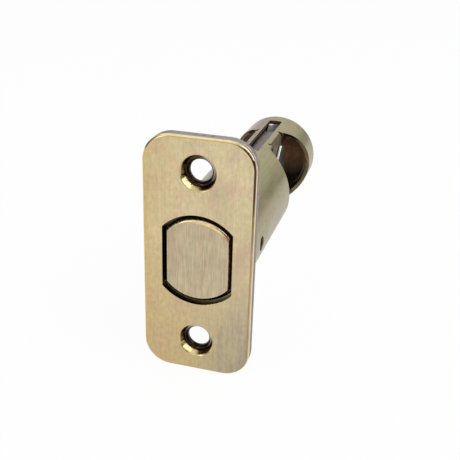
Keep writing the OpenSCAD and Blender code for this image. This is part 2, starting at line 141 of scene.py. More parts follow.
table_paper = bpy.data.materials.new("white_table")
table_paper.use_nodes = True
tree = table_paper.node_tree
tree.nodes.clear()
matt = new_node(tree, "ShaderNodeBsdfDiffuse")
matt.inputs["Color"].default_value = (TABLE_GREY, TABLE_GREY, TABLE_GREY, 1)
glow = new_node(tree, "ShaderNodeEmission")
glow.inputs["Color"].default_value = WHITE
glow.inputs["Strength"].default_value = 1.0
blend = new_node(tree, "ShaderNodeMixShader")
feed(tree, blend.inputs["Fac"], product(tree, seen_or_mirrored(tree), TABLE_GLOW))
feed(tree, blend.inputs[1], matt.outputs[0])
feed(tree, blend.inputs[2], glow.outputs[0])
out = new_node(tree, "ShaderNodeOutputMaterial")
feed(tree, out.inputs["Surface"], blend.outputs[0])
table_mesh.materials.append(table_paper)

# Room and lamps
# A white room, which metal mirrors a shade darker just above the horizon and in two dark
# zones, at the right and at the left. A soft lamp hangs high on the right, a weak one at the
# front left. A zone is its direction, the cosines where it starts and is full, and its depth.
ROOM_LIGHT = 0.66
HORIZON_SHADE, HORIZON_HEIGHT, HORIZON_SPREAD = 0.60, 0.07, 0.17
RIGHT_ZONE = (0.72, -0.52, 0.46), 0.80, 0.95, 0.90
LEFT_ZONE = (-0.95, 0.10, 0.29), 0.80, 0.97, 0.80


def vector_sums(tree, operation, first, second=None):
    """One step of arithmetic with vectors, with its Vector and Value outputs."""
    node = new_node(tree, "ShaderNodeVectorMath", operation=operation)
    feed(tree, node.inputs[0], first)
    if second is not None:
        feed(tree, node.inputs[1], second)
    return node.outputs


def xyz_of(tree, vector):
    """The X, Y and Z outputs of a vector."""
    node = new_node(tree, "ShaderNodeSeparateXYZ")
    feed(tree, node.inputs[0], vector)
    return node.outputs


def facing(tree, way, direction, cos_start, cos_end):
    """0 away from a direction, rising to 1 close to it."""
    angle = vector_sums(tree, "DOT_PRODUCT", way, Vector(direction).normalized())
    rise = new_node(tree, "ShaderNodeMapRange", interpolation_type="SMOOTHSTEP")
    feed(tree, rise.inputs["Value"], angle["Value"])
    rise.inputs["From Min"].default_value = cos_start
    rise.inputs["From Max"].default_value = cos_end
    return rise.outputs["Result"]


room = bpy.data.worlds.new("pale_room")
room.use_nodes = True
scene.world = room
tree = room.node_tree
tree.nodes.clear()
way = new_node(tree, "ShaderNodeTexCoord").outputs["Generated"]
height = sums(tree, "SUBTRACT", xyz_of(tree, way)["Z"], HORIZON_HEIGHT)
height = sums(tree, "DIVIDE", height, HORIZON_SPREAD)
band = sums(tree, "EXPONENT", product(tree, height, height, -1.0))
light = sums(tree, "SUBTRACT", 1.0, product(tree, band, HORIZON_SHADE))
for direction, start, full, depth in (RIGHT_ZONE, LEFT_ZONE):
    shade = product(tree, facing(tree, way, direction, start, full), depth)
    light = product(tree, light, sums(tree, "SUBTRACT", 1.0, shade))
rays = new_node(tree, "ShaderNodeLightPath").outputs
strength = new_node(tree, "ShaderNodeMix", data_type="FLOAT")
feed(tree, strength.inputs["Factor"], seen_or_mirrored(tree))
strength.inputs["A"].default_value = ROOM_LIGHT
feed(tree, strength.inputs["B"], sums(tree, "MAXIMUM", light, rays["Is Camera Ray"]))
air = new_node(tree, "ShaderNodeBackground")
air.inputs["Color"].default_value = WHITE
feed(tree, air.inputs["Strength"], strength.outputs["Result"])
out = new_node(tree, "ShaderNodeOutputWorld")
feed(tree, out.inputs["Surface"], air.outputs[0])

MIDDLE = (CAD_BOX[0] + CAD_BOX[1]) / 2


def soft_lamp(name, way, distance, width, power):
    """A square soft box in a given direction from the latch, which looks at it."""
    data = bpy.data.lights.new(name, "AREA")
    data.shape = "SQUARE"
    data.size = width
    data.energy = power
    lamp = bpy.data.objects.new(name, data)
    lamp.location = MIDDLE + Vector(way).normalized() * distance
    lamp.rotation_euler = (-Vector(way)).to_track_quat("-Z", "Y").to_euler()
    scene.collection.objects.link(lamp)


soft_lamp("right_lamp", way=(0.75, -0.12, 0.65), distance=0.60, width=0.56, power=2.1)
soft_lamp("left_lamp", way=(-0.55, -0.62, 0.40), distance=0.70, width=0.30, power=0.8)

# Faceplate
# A brass plate, 1.5 mm thick, pressed with a soft bevel and finished in antique brass:
# brushed from end to end, polished on its rim, dark in the countersinks and the opening.
FACE_EDGE = 0.10
FACE_PALE = (0.690, 0.575, 0.350)
FACE_GOLD = (0.640, 0.480, 0.215)
FACE_ROSE = (0.660, 0.475, 0.335)
FACE_GREEN = (0.575, 0.525, 0.315)
FACE_GREY = (0.460, 0.405, 0.295)
FACE_BARE = (0.355, 0.325, 0.265)
FACE_SPECK = (0.20, 0.14, 0.08)
RIM_BRASS = (0.90, 0.76, 0.43)
RIM_TARNISH = (0.66, 0.47, 0.24)
RIM_GOLD = (0.60, 0.43, 0.18)
RIM_REFLECTED_DARK = (0.085, 0.045, 0.022)
RIM_DULL = (0.40, 0.335, 0.275)
PATINA = (0.045, 0.021, 0.010)
PATINA_RED = (0.28, 0.11, 0.05)


def new_finish(name, roughness, colour=(0.5, 0.5, 0.5), metallic=1.0):
    """A new material with its shader and the object's own coordinates."""
    material = bpy.data.materials.new(name)
    material.use_nodes = True
    tree = material.node_tree
    shader = tree.nodes["Principled BSDF"]
    shader.inputs["Base Color"].default_value = (*colour, 1)
    shader.inputs["Metallic"].default_value = metallic
    shader.inputs["Roughness"].default_value = roughness
    return material, tree, shader, new_node(tree, "ShaderNodeTexCoord").outputs["Object"]


def grain(tree, coords, size_mm, detail=2.0, shift=(0, 0, 0)):
    """Noise whose size along X, Y and Z is given in millimetres."""
    place = new_node(tree, "ShaderNodeMapping")
    place.inputs["Scale"].default_value = [1 / (s * MM) for s in size_mm]
    place.inputs["Location"].default_value = shift
    noise = new_node(tree, "ShaderNodeTexNoise")
    noise.inputs["Scale"].default_value = 1.0
    noise.inputs["Detail"].default_value = detail
    noise.inputs["Roughness"].default_value = 0.55
    feed(tree, place.inputs["Vector"], coords)
    feed(tree, noise.inputs["Vector"], place.outputs[0])
    return noise.outputs["Fac"]


def spread(tree, value, low, high, to_low=0.0, to_high=1.0):
    """Stretches a value from one range to another."""
    node = new_node(tree, "ShaderNodeMapRange")
    for name, number in (("From Min", low), ("From Max", high),
                         ("To Min", to_low), ("To Max", to_high)):
        node.inputs[name].default_value = number
    feed(tree, node.inputs["Value"], value)
    return node.outputs["Result"]


def between(tree, distance, start_mm, end_mm):
    """Rises from 0 to 1 between two distances, given in millimetres."""
    return spread(tree, distance, start_mm * MM, end_mm * MM)


def along(tree, coords, axis, start_mm, end_mm):
    """Rises from 0 to 1 between two places on an axis of the latch."""
    return between(tree, xyz_of(tree, coords)[axis], start_mm, end_mm)


def tint(tree, base, factor, other, mode="MIX"):
    """Mixes a colour or a colour output with another by a factor."""
    node = new_node(tree, "ShaderNodeMix", data_type="RGBA", blend_type=mode)
    feed(tree, node.inputs["Factor"], factor)
    for value, socket in ((base, node.inputs["A"]), (other, node.inputs["B"])):
        feed(tree, socket, (*value, 1) if isinstance(value, tuple) else value)
    return node.outputs["Result"]


def shaded(tree, colour, value, low, high):
    """Darkens or lightens a colour between two shares as a value goes from 0 to 1."""
    grey = new_node(tree, "ShaderNodeCombineColor")
    share = spread(tree, value, 0, 1, low, high)
    for channel in ("Red", "Green", "Blue"):
        feed(tree, grey.inputs[channel], share)
    return tint(tree, colour, 1.0, grey.outputs[0], "MULTIPLY")


def uneven_gloss(tree, shader, noise, low, high):
    """Roughness between two values, over the range that a noise mostly has."""
    feed(tree, shader.inputs["Roughness"], spread(tree, noise, 0.3, 0.7, low, high))


def relief(tree, shader, height, depth_mm, strength=1.0):
    """Turns a height into bump on a shader."""
    bump = new_node(tree, "ShaderNodeBump")
    bump.inputs["Distance"].default_value = depth_mm * MM
    bump.inputs["Strength"].default_value = strength
    feed(tree, bump.inputs["Height"], height)
    feed(tree, shader.inputs["Normal"], bump.outputs[0])


MERGE = 0.002
FLAT_TURN = radians(0.4)
SHARP_TURN = radians(28)


def worked_copy(node, edge_mm, slots, merge_mm=MERGE, steps=2):
    """A merged copy of a solid that is to stand for it.

    Faces that turn less than FLAT_TURN are joined, and edges over SHARP_TURN are rounded.
    """
    mesh = frame["nodes"][node].data.copy()
    mesh.materials.clear()
    for material in slots:
        mesh.materials.append(material)
    work = bmesh.new()
    work.from_mesh(mesh)
    bmesh.ops.remove_doubles(work, verts=work.verts, dist=merge_mm * MM)
    bmesh.ops.dissolve_limit(work, angle_limit=FLAT_TURN, verts=work.verts, edges=work.edges)
    for face in work.faces:
        face.smooth = True
    work.to_mesh(mesh)
    work.free()
    rough = bpy.data.objects.new(node + "_rough", mesh)
    scene.collection.objects.link(rough)
    edge = rough.modifiers.new("rounded edges", "BEVEL")
    edge.width = edge_mm * MM
    edge.segments = steps
    edge.limit_method = "ANGLE"
    edge.angle_limit = SHARP_TURN
    edge.use_clamp_overlap = True
    even = rough.modifiers.new("even shading", "WEIGHTED_NORMAL")
    even.keep_sharp = True
    return plain_mesh(rough, node + "_worked")


def plain_mesh(rough, name):
    """Turns an object with its modifiers into a plain piece and removes the object."""
    bpy.context.view_layer.update()
    shown = rough.evaluated_get(bpy.context.evaluated_depsgraph_get())
    finished = bpy.data.meshes.new_from_object(shown)
    bpy.data.objects.remove(rough)
    finished.name = name
    piece = bpy.data.objects.new(name, finished)
    scene.collection.objects.link(piece)
    return piece


def give_slot(piece, index, rule):
    """Gives a material slot to the faces whose middle, in millimetres, and normal fit a rule."""
    for face in piece.data.polygons:
        if rule(face.center / MM, face.normal):
            face.material_index = index


def stand_for(piece, body, slot, *nodes):
    """The piece rides on a body in place of one or more solids."""
    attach(piece, body)
    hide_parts(*nodes)


def brushed_lines(tree, coords):
    """Fine lines along Z, as a belt leaves them, of uneven length and strength."""
    fine = grain(tree, coords, (0.11, 0.5, 4.5), detail=3)
    broad = grain(tree, coords, (0.50, 1.0, 9), detail=3, shift=(3, 0, 1))
    return sums(tree, "ADD", product(tree, fine, 0.60), product(tree, broad, 0.40))


def finish_brushed_face():
    """Pale at the top, golden below and at the left edge, and rubbed bare at the lower right."""
    material, tree, shader, coords = new_finish("brushed_antique_brass", 0.34)
    lines = brushed_lines(tree, coords)
    broad = grain(tree, coords, (11, 11, 14), shift=(4, 9, 2))
    cloud = grain(tree, coords, (6, 6, 7), detail=3)
    patch = grain(tree, coords, (3.5, 3.5, 5), detail=3, shift=(7, 2, 3))
    blotch = grain(tree, coords, (0.9, 0.9, 1.2), detail=3, shift=(1, 6, 2))
    speck = grain(tree, coords, (0.35, 0.35, 0.45), detail=1, shift=(2, 0, 5))
    rubbed = grain(tree, coords, (1.3, 1.3, 10), detail=3, shift=(5, 5, 3))
    lower = along(tree, coords, "Z", 6, -27)
    right = along(tree, coords, "X", -3, 12)
    colour = tint(tree, FACE_PALE, spread(tree, cloud, 0.48, 0.64, 0, 0.85), FACE_ROSE)
    colour = tint(tree, colour, spread(tree, patch, 0.54, 0.68, 0, 0.60), FACE_GREEN)
    colour = shaded(tree, colour, spread(tree, broad, 0.35, 0.65), 0.94, 1.06)
    colour = tint(tree, colour, product(tree, lower, 0.70), FACE_GOLD)
    rosy = product(tree, lower, spread(tree, cloud, 0.46, 0.60), 0.55)
    colour = tint(tree, colour, rosy, FACE_ROSE)
    colour = tint(tree, colour, product(tree, lower, right, 0.85), FACE_GREY)
    bare = product(tree, spread(tree, rubbed, 0.46, 0.62), along(tree, coords, "Z", -6, -18))
    colour = tint(tree, colour, product(tree, bare, right, 0.8), FACE_BARE)
    left = product(tree, along(tree, coords, "X", 0, -12), 0.45)
    colour = tint(tree, colour, left, FACE_GOLD)
    colour = tint(tree, colour, along(tree, coords, "X", -11.0, -12.6), FACE_GOLD)
    colour = shaded(tree, colour, spread(tree, blotch, 0.30, 0.70), 0.90, 1.08)
    colour = shaded(tree, colour, spread(tree, lines, 0.36, 0.64), 0.88, 1.08)
    colour = shaded(tree, colour, lower, 1.0, 0.90)
    colour = tint(tree, colour, spread(tree, speck, 0.69, 0.77, 0, 0.55), FACE_SPECK)
    feed(tree, shader.inputs["Base Color"], colour)
    uneven_gloss(tree, shader, lines, 0.29, 0.42)
    relief(tree, shader, lines, 0.006, 0.6)
    return material


def finish_polished_rim():
    """Bright bevel, gold where it meets the face, with a painted dark reflection in a brown line
    that fades down the right.
    """
    material, tree, shader, coords = new_finish("polished_brass_rim", 0.16)
    wear = grain(tree, coords, (1.5, 1.5, 4))
    # Painted dark reflection: a brown line down the right bevel, fainter lower down.
    right_bevel = product(tree, along(tree, coords, "X", 7.2, 10.2),
                          along(tree, coords, "Y", 0.40, 0.28))
    fade = spread(tree, along(tree, coords, "Z", 3, 17), 0, 1, 0.45, 1.0)
    brown = product(tree, right_bevel, spread(tree, wear, 0.25, 0.45, 0.70, 1.0), fade)
    colour = tint(tree, RIM_BRASS, spread(tree, wear, 0.5, 0.75, 0, 0.5), RIM_TARNISH)
    colour = tint(tree, colour, along(tree, coords, "Y", 0.17, 0.08), RIM_GOLD)
    colour = tint(tree, colour, brown, RIM_REFLECTED_DARK)
    colour = tint(tree, colour, along(tree, coords, "Y", 0.48, 0.66), RIM_DULL)
    feed(tree, shader.inputs["Base Color"], colour)
    uneven_gloss(tree, shader, wear, 0.12, 0.22)
    return material


SCREWS = next(m for m in frame["record"]["mounts"] if m["name"] == "faceplate_screws")
SCREW_Z = SCREWS["dims"]["spacing_y_mm"] / 2
SINK_LIMIT = 4.3
SINK_MOUTH = (3.86, 3.98)
SINK_OUTSIDE = (4.6, 4.4)
SINK_GOLD = (0.72, 0.57, 0.28)
SINK_HIGHLIGHT_WAY = (-0.55, 0.0, -0.84)
SINK_STREAK_WAY = (-0.99, 0.0, 0.12)
OPENING_REACH = (9.0, 11.6)


def finish_dark_recess():
    """Dark patina, worn to gold round the mouth, with a gold streak at the left and a painted
    gold highlight on the lower left side.
    """
    material, tree, shader, coords = new_finish("dark_brass_patina", 0.20)
    stain = grain(tree, coords, (0.9, 0.9, 0.9), detail=3)
    turned = grain(tree, coords, (0.8, 0.05, 0.8))
    place = xyz_of(tree, coords)
    screw_z = product(tree, sums(tree, "SIGN", place["Z"]), SCREW_Z * MM)
    from_screw = new_node(tree, "ShaderNodeCombineXYZ")
    feed(tree, from_screw.inputs["X"], place["X"])
    feed(tree, from_screw.inputs["Z"], sums(tree, "SUBTRACT", place["Z"], screw_z))
    distance = vector_sums(tree, "LENGTH", from_screw.outputs[0])["Value"]
    way = vector_sums(tree, "NORMALIZE", from_screw.outputs[0])["Vector"]
    sink = between(tree, distance, *SINK_OUTSIDE)
    mouth = product(tree, between(tree, distance, *SINK_MOUTH), 0.8)
    streak = product(tree, facing(tree, way, SINK_STREAK_WAY, 0.93, 0.99), 0.55)
    # Painted highlight: gold on the lower left side of each countersink, joined with the gold
    # streak at the left.
    worn = sums(tree, "MAXIMUM", facing(tree, way, SINK_HIGHLIGHT_WAY, 0.70, 0.90), streak)
    worn = sums(tree, "SUBTRACT", worn, along(tree, coords, "Y", 1.0, 1.5), clamp=True)
    worn = product(tree, worn, spread(tree, stain, 0.30, 0.50, 0.55, 1.0))
    worn = product(tree, sums(tree, "MAXIMUM", worn, mouth), sink)
    colour = tint(tree, PATINA, spread(tree, stain, 0.5, 0.7, 0, 0.4), PATINA_RED)
    # Painted shade: beyond the countersinks, on the wall of the bolt's opening, the patina is
    # darkened nearly to black.
    colour = shaded(tree, colour, sink, 0.30, 1.0)
    colour = tint(tree, colour, worn, SINK_GOLD)
    feed(tree, shader.inputs["Base Color"], colour)
    uneven_gloss(tree, shader, turned, 0.14, 0.26)
    relief(tree, shader, turned, 0.010, 0.5)
    return material


def in_sink(middle):
    """True for a face in one of the countersunk screw holes."""
    return hypot(middle.x, abs(middle.z) - SCREW_Z) < SINK_LIMIT


def in_opening(middle):
    """True for a face in the bolt's opening."""
    return abs(middle.x) < OPENING_REACH[0] and abs(middle.z) < OPENING_REACH[1]


def in_front(box, middle, normal):
    """True for a face that lies in the flat front of a piece with the given box."""
    return normal.y < -0.995 and middle.y < box[0].y + 0.02


FACE_BOX = [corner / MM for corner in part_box("faceplate")]
faceplate = worked_copy("faceplate", FACE_EDGE,
                        (finish_polished_rim(), finish_brushed_face(), finish_dark_recess()))
give_slot(faceplate, 1, lambda m, n: in_front(FACE_BOX, m, n))
give_slot(faceplate, 2, lambda m, n: (in_sink(m) or in_opening(m)) and abs(n.y) < 0.9)
stand_for(faceplate, "case", "brushed_brass", "faceplate")

# Back plate
# The steel plate behind the faceplate, blanked from strip and zinc plated. Its round hole
# holds the tube, and it carries the lower part of the countersinks.
BACK_EDGE = 0.14
STEEL_MAUVE = (0.300, 0.260, 0.252)
STEEL_LIGHT = (0.40, 0.36, 0.335)
STEEL_DARK = (0.15, 0.125, 0.115)
STEEL_SIDE_SHADE = (0.225, 0.150, 0.125)
HOLE_DARK = (0.020, 0.014, 0.010)
HOLE_WORN = (0.16, 0.11, 0.06)


def finish_plate_steel():
    """Clouded plated steel with the dark streaks of shearing, and painted shade that browns its
    right edge.
    """
    material, tree, shader, coords = new_finish("plated_strip_steel", 0.36)
    rolled = grain(tree, coords, (0.5, 0.5, 16))
    sheared = grain(tree, coords, (0.25, 4.0, 0.25), detail=3, shift=(5, 1, 2))
    cloud = grain(tree, coords, (6, 6, 6), shift=(1, 8, 4))
    colour = tint(tree, STEEL_MAUVE, spread(tree, cloud, 0.4, 0.7, 0, 0.7), STEEL_LIGHT)
    colour = tint(tree, colour, spread(tree, sheared, 0.52, 0.70, 0, 0.55), STEEL_DARK)
    colour = shaded(tree, colour, spread(tree, rolled, 0.35, 0.65), 0.92, 1.05)
    # Painted shade: the right edge is tinted a darker brown-grey.
    right_edge_shade = product(tree, along(tree, coords, "X", 12.2, 12.5), 0.85)
    colour = tint(tree, colour, right_edge_shade, STEEL_SIDE_SHADE)
    feed(tree, shader.inputs["Base Color"], colour)
    uneven_gloss(tree, shader, sheared, 0.30, 0.44)
    relief(tree, shader, sheared, 0.010, 0.5)
    return material


def finish_dark_bore():
    """The lower part of a countersink, nearly black with a few worn spots."""
    material, tree, shader, coords = new_finish("dark_hole_wall", 0.30)
    stain = grain(tree, coords, (0.8, 0.3, 0.8))
    colour = tint(tree, HOLE_DARK, spread(tree, stain, 0.5, 0.8), HOLE_WORN)
    feed(tree, shader.inputs["Base Color"], colour)
    return material


back_plate = worked_copy("back_plate", BACK_EDGE, (finish_plate_steel(), finish_dark_bore()))
give_slot(back_plate, 1, lambda m, n: in_sink(m) and n.y < 0.9)
stand_for(back_plate, "case", "plate_steel", "back_plate")

# Tube
# Steel tube, zinc plated and passivated to a pale olive, with two punched side openings,
# the slot on top, and the two ears that are folded in beside the slot to carry the hub.
TUBE_EDGE = 0.12
TUBE_MERGE = 0.11
TUBE_OLIVE = (0.355, 0.300, 0.160)
TUBE_WARM = (0.400, 0.310, 0.185)
TUBE_GREEN = (0.310, 0.290, 0.130)
TUBE_STAIN = (0.18, 0.140, 0.065)
TUBE_PINK = (0.540, 0.405, 0.325)
EAR_SHADE_BROWN = (0.070, 0.048, 0.022)
EAR_WORN = (0.105, 0.080, 0.036)
BORE_BROWN = (0.17, 0.085, 0.030)
BORE_LIGHT = (0.34, 0.19, 0.075)
PUNCHED_SHADE = (0.130, 0.090, 0.048)
PUNCHED_LIGHT = (0.26, 0.20, 0.11)
TUBE_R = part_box("tube")[1].x / MM
SHEET_LIMIT = TUBE_R - 0.75
FOLD_REACH = 6.0


def from_axis(tree, coords):
    """Distance from the tube's axis, along which the bolt slides."""
    across = vector_sums(tree, "MULTIPLY", coords, (1, 0, 1))["Vector"]
    return vector_sums(tree, "LENGTH", across)["Value"]


def finish_tube():
    """Olive passivation in clouds with painted shade, darker below and brown where the ears fold
    in, and a pink left flank that is partly painted reflection.
    """
    material, tree, shader, coords = new_finish("olive_passivated_zinc", 0.33)
    broad = grain(tree, coords, (9, 24, 9))
    warm = grain(tree, coords, (5, 16, 5), detail=3, shift=(4, 1, 7))
    drawn = grain(tree, coords, (0.25, 30, 0.25), detail=3)
    cloud = grain(tree, coords, (2.2, 4, 2.2), shift=(6, 3, 1))
    colour = tint(tree, TUBE_OLIVE, spread(tree, broad, 0.42, 0.62, 0, 0.85), TUBE_GREEN)
    colour = tint(tree, colour, spread(tree, warm, 0.46, 0.66, 0, 0.85), TUBE_WARM)
    colour = tint(tree, colour, spread(tree, cloud, 0.50, 0.75, 0, 0.30), TUBE_STAIN)
    # Painted shade: lighter at the top and darker towards the bottom.
    colour = shaded(tree, colour, along(tree, coords, "Z", 7, -1), 1.05, 0.88)
    colour = shaded(tree, colour, spread(tree, drawn, 0.36, 0.64), 0.93, 1.05)
    # Pink on the left flank: partly the passivation's tint, partly a painted reflection that
    # lightens it.
    left_flank = product(tree, along(tree, coords, "X", -0.5, -4.5),
                         along(tree, coords, "Y", 40, 56), along(tree, coords, "Z", -3, 6), 0.85)
    colour = tint(tree, colour, left_flank, TUBE_PINK)
    # Painted shade: where the ears fold in, the olive turns dark brown.
    folded = between(tree, from_axis(tree, coords), TUBE_R - 0.2, TUBE_R - 0.9)
    colour = tint(tree, colour, product(tree, folded, 0.95), EAR_SHADE_BROWN)
    feed(tree, shader.inputs["Base Color"], colour)
    uneven_gloss(tree, shader, warm, 0.23, 0.34)
    relief(tree, shader, drawn, 0.008, 0.5)
    return material


def finish_tube_bore():
    """The brown inside of the tube, with painted shade that darkens it towards its bottom."""
    material, tree, shader, coords = new_finish("brown_tube_bore", 0.42)
    stain = grain(tree, coords, (1.2, 9, 1.2), detail=3)
    colour = tint(tree, BORE_BROWN, spread(tree, stain, 0.4, 0.7), BORE_LIGHT)
    # Painted shade: darker towards the bottom of the bore.
    colour = shaded(tree, colour, along(tree, coords, "Z", 0, -7), 1.0, 0.25)
    feed(tree, shader.inputs["Base Color"], colour)
    return material


def finish_ear_in_shade():
    """The flat of a folded ear, painted a dull dark brown as the shade inside the tube."""
    material, tree, shader, coords = new_finish("brown_ear", 0.46, EAR_SHADE_BROWN, 0.0)
    stain = grain(tree, coords, (1.5, 2.5, 2.0), detail=3, shift=(3, 2, 8))
    colour = tint(tree, EAR_SHADE_BROWN, spread(tree, stain, 0.42, 0.68), EAR_WORN)
    feed(tree, shader.inputs["Base Color"], colour)
    uneven_gloss(tree, shader, stain, 0.38, 0.54)
    shader.inputs["Specular IOR Level"].default_value = 0.25
    relief(tree, shader, stain, 0.02, 0.3)
    return material


def finish_punched_edge():
    """The torn edge of an opening, painted dark brown at the top as shade on the slot's walls,
    and olive at the bottom.
    """
    material, tree, shader, coords = new_finish("punched_steel_edge", 0.38)
    torn = grain(tree, coords, (0.3, 0.3, 0.3), detail=3)
    colour = tint(tree, PUNCHED_SHADE, spread(tree, torn, 0.45, 0.75), PUNCHED_LIGHT)
    # Painted shade: dark brown above, turning olive below.
    colour = tint(tree, colour, along(tree, coords, "Z", 3.5, -3.5), TUBE_OLIVE)
    feed(tree, shader.inputs["Base Color"], colour)
    relief(tree, shader, torn, 0.02, 0.5)
    return material


def outward(middle, normal):
    """How far a face of the tube looks away from the tube's axis, from -1 to 1."""
    return (middle.x * normal.x + middle.z * normal.z) / hypot(middle.x, middle.z)


tube = worked_copy("tube", TUBE_EDGE, (finish_tube(), finish_tube_bore(),
                                       finish_punched_edge(), finish_ear_in_shade()), TUBE_MERGE)
give_slot(tube, 2, lambda m, n: abs(outward(m, n)) < 0.5)
give_slot(tube, 1, lambda m, n: hypot(m.x, m.z) < SHEET_LIMIT and outward(m, n) < -0.7)
# The ears' flats take the painted shade.
give_slot(tube, 3, lambda m, n: abs(n.x) > 0.6 and abs(m.x) < FOLD_REACH)
stand_for(tube, "case", "chromated_tube", "tube")

# Bolt guide
# A glossy black moulding pressed into the mouth of the tube, in which the bolt slides.
# Its rim is what shows in the gap round the bolt.
GUIDE_EDGE = 0.12
GUIDE_BLACK = (0.008, 0.007, 0.007)
GUIDE_WORN = (0.02, 0.018, 0.016)


def finish_black_guide():
    """Glossy black plastic with flow marks and orange peel."""
    material, tree, shader, coords = new_finish("black_guide", 0.22, GUIDE_BLACK, 0.0)
    flow = grain(tree, coords, (1.6, 6, 1.6), detail=3)
    orange_peel = grain(tree, coords, (0.35, 0.35, 0.35))
    colour = tint(tree, GUIDE_BLACK, spread(tree, flow, 0.5, 0.8, 0, 0.8), GUIDE_WORN)
    feed(tree, shader.inputs["Base Color"], colour)
    uneven_gloss(tree, shader, flow, 0.18, 0.30)
    relief(tree, shader, orange_peel, 0.010, 0.4)
    return material


bolt_guide = worked_copy("bolt_guide", GUIDE_EDGE, (finish_black_guide(),))
stand_for(bolt_guide, "case", "dark_plastic", "bolt_guide")

# Bolt and the plug behind its roller
# Drawn brass of double-D section with a round stop collar turned on its rear end. Its face is
# brushed and its chamfer polished, and it is bored for the hardened roller and milled
# for the tail bar's tongue. A short plug of the same brass closes the bore.
BOLT_EDGE = 0.10
PLUG_EDGE = 0.15
BOLT_PALE = (0.600, 0.505, 0.335)
BOLT_WARM = (0.565, 0.435, 0.275)
BOLT_GREY = (0.490, 0.425, 0.305)
DRAWN_BRASS = (0.60, 0.48, 0.27)
DRAWN_TARNISH = (0.50, 0.37, 0.19)
CHAMFER_GOLD = (0.88, 0.70, 0.38)
CHAMFER_BROWN = (0.46, 0.30, 0.13)
CHAMFER_RED = (0.22, 0.075, 0.035)
CHAMFER_REACH = 0.6
COLLAR_REACH = 4.2
BORE_REACH = 5.0
BOLT_BOX = [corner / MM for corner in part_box("bolt")]
BOLT_FACE_R = max(v.co.z for v in frame["nodes"]["bolt"].data.vertices
                  if v.co.y < (BOLT_BOX[0].y + CHAMFER_REACH) * MM) / MM


# Its gold serves the chamfer and also the painted highlight on the rim of the bolt's face.
def worn_gold_and_highlight(tree, coords):
    """Pale gold with brown stains and a burnt red spot at the upper right of the bolt's end."""
    wear = grain(tree, coords, (1.2, 1.2, 1.2), detail=3)
    burnt = product(tree, along(tree, coords, "X", 5.2, 7.0), along(tree, coords, "Z", 2.5, 5.0))
    colour = tint(tree, CHAMFER_GOLD, spread(tree, wear, 0.45, 0.65, 0, 0.7), CHAMFER_BROWN)
    return tint(tree, colour, product(tree, burnt, 0.8), CHAMFER_RED)


def finish_bolt_face():
    """Brushed from end to end, mottled, a shade darker at the left, with a painted gold highlight
    on its rim at the upper right.
    """
    material, tree, shader, coords = new_finish("brushed_bolt_face", 0.36)
    fine = grain(tree, coords, (0.13, 0.5, 3.5), detail=3, shift=(1, 4, 2))
    broad = grain(tree, coords, (0.7, 1.0, 7), detail=3, shift=(5, 0, 1))
    cloud = grain(tree, coords, (3, 3, 6), detail=3, shift=(2, 6, 0))
    mottled = grain(tree, coords, (1.6, 1.6, 2.6), detail=3, shift=(9, 1, 4))
    colour = tint(tree, BOLT_PALE, spread(tree, cloud, 0.40, 0.66, 0, 0.8), BOLT_WARM)
    colour = tint(tree, colour, spread(tree, broad, 0.48, 0.70, 0, 0.7), BOLT_GREY)
    colour = shaded(tree, colour, spread(tree, fine, 0.34, 0.66), 0.80, 1.12)
    colour = shaded(tree, colour, spread(tree, broad, 0.3, 0.7), 0.90, 1.08)
    colour = shaded(tree, colour, spread(tree, mottled, 0.35, 0.65), 0.91, 1.06)
    colour = shaded(tree, colour, along(tree, coords, "X", -4.5, -8.2), 1.0, 0.90)
    # Painted highlight: the rim at the upper right is tinted bright gold, widening the chamfer's
    # bright line.
    rim = between(tree, from_axis(tree, coords), BOLT_FACE_R - 1.05, BOLT_FACE_R - 0.70)
    worn = product(tree, rim, along(tree, coords, "X", -2.5, 1.5),
                   along(tree, coords, "Z", 0.5, 2.5))
    colour = tint(tree, colour, worn, worn_gold_and_highlight(tree, coords))
    feed(tree, shader.inputs["Base Color"], colour)
    rough = sums(tree, "SUBTRACT", spread(tree, fine, 0.3, 0.7, 0.30, 0.46),
                 product(tree, worn, 0.10))
    feed(tree, shader.inputs["Roughness"], rough)
    relief(tree, shader, fine, 0.008, 0.6)
    return material


def finish_bolt_chamfer():
    """The polished chamfer round the bolt's face, in worn gold."""
    material, tree, shader, coords = new_finish("worn_bolt_chamfer", 0.20)
    rubbed = grain(tree, coords, (0.6, 0.6, 0.6), shift=(2, 7, 1))
    feed(tree, shader.inputs["Base Color"], worn_gold_and_highlight(tree, coords))
    uneven_gloss(tree, shader, rubbed, 0.16, 0.28)
    return material


def finish_drawn_brass(name, roughness, across=False):
    """Brass with fine lines along the bolt, or across it where it was turned or milled."""
    material, tree, shader, coords = new_finish(name, roughness)
    size = (0.9, 0.12, 0.9) if across else (0.09, 20, 0.09)
    lines = grain(tree, coords, size)
    tarnish = grain(tree, coords, (5, 5, 5), shift=(2, 2, 6))
    colour = tint(tree, DRAWN_BRASS, spread(tree, tarnish, 0.48, 0.72, 0, 0.45), DRAWN_TARNISH)
    colour = shaded(tree, colour, spread(tree, lines, 0.35, 0.65), 0.94, 1.04)
    feed(tree, shader.inputs["Base Color"], colour)
    uneven_gloss(tree, shader, lines, roughness - 0.05, roughness + 0.08)
    relief(tree, shader, lines, 0.010, 0.5)
    return material


BOLT_MILLED = finish_drawn_brass("turned_and_milled_brass", 0.30, across=True)
bolt = worked_copy("bolt", BOLT_EDGE, (finish_drawn_brass("drawn_brass", 0.26),
                                       finish_bolt_face(), finish_bolt_chamfer(), BOLT_MILLED))
give_slot(bolt, 3, lambda m, n: (m.y > BOLT_BOX[1].y - COLLAR_REACH
                                 or hypot(m.x, m.z) < BORE_REACH))
give_slot(bolt, 2, lambda m, n: m.y < BOLT_BOX[0].y + CHAMFER_REACH)
give_slot(bolt, 1, lambda m, n: in_front(BOLT_BOX, m, n))
stand_for(bolt, "bolt_assembly", "bolt_brass", "bolt")

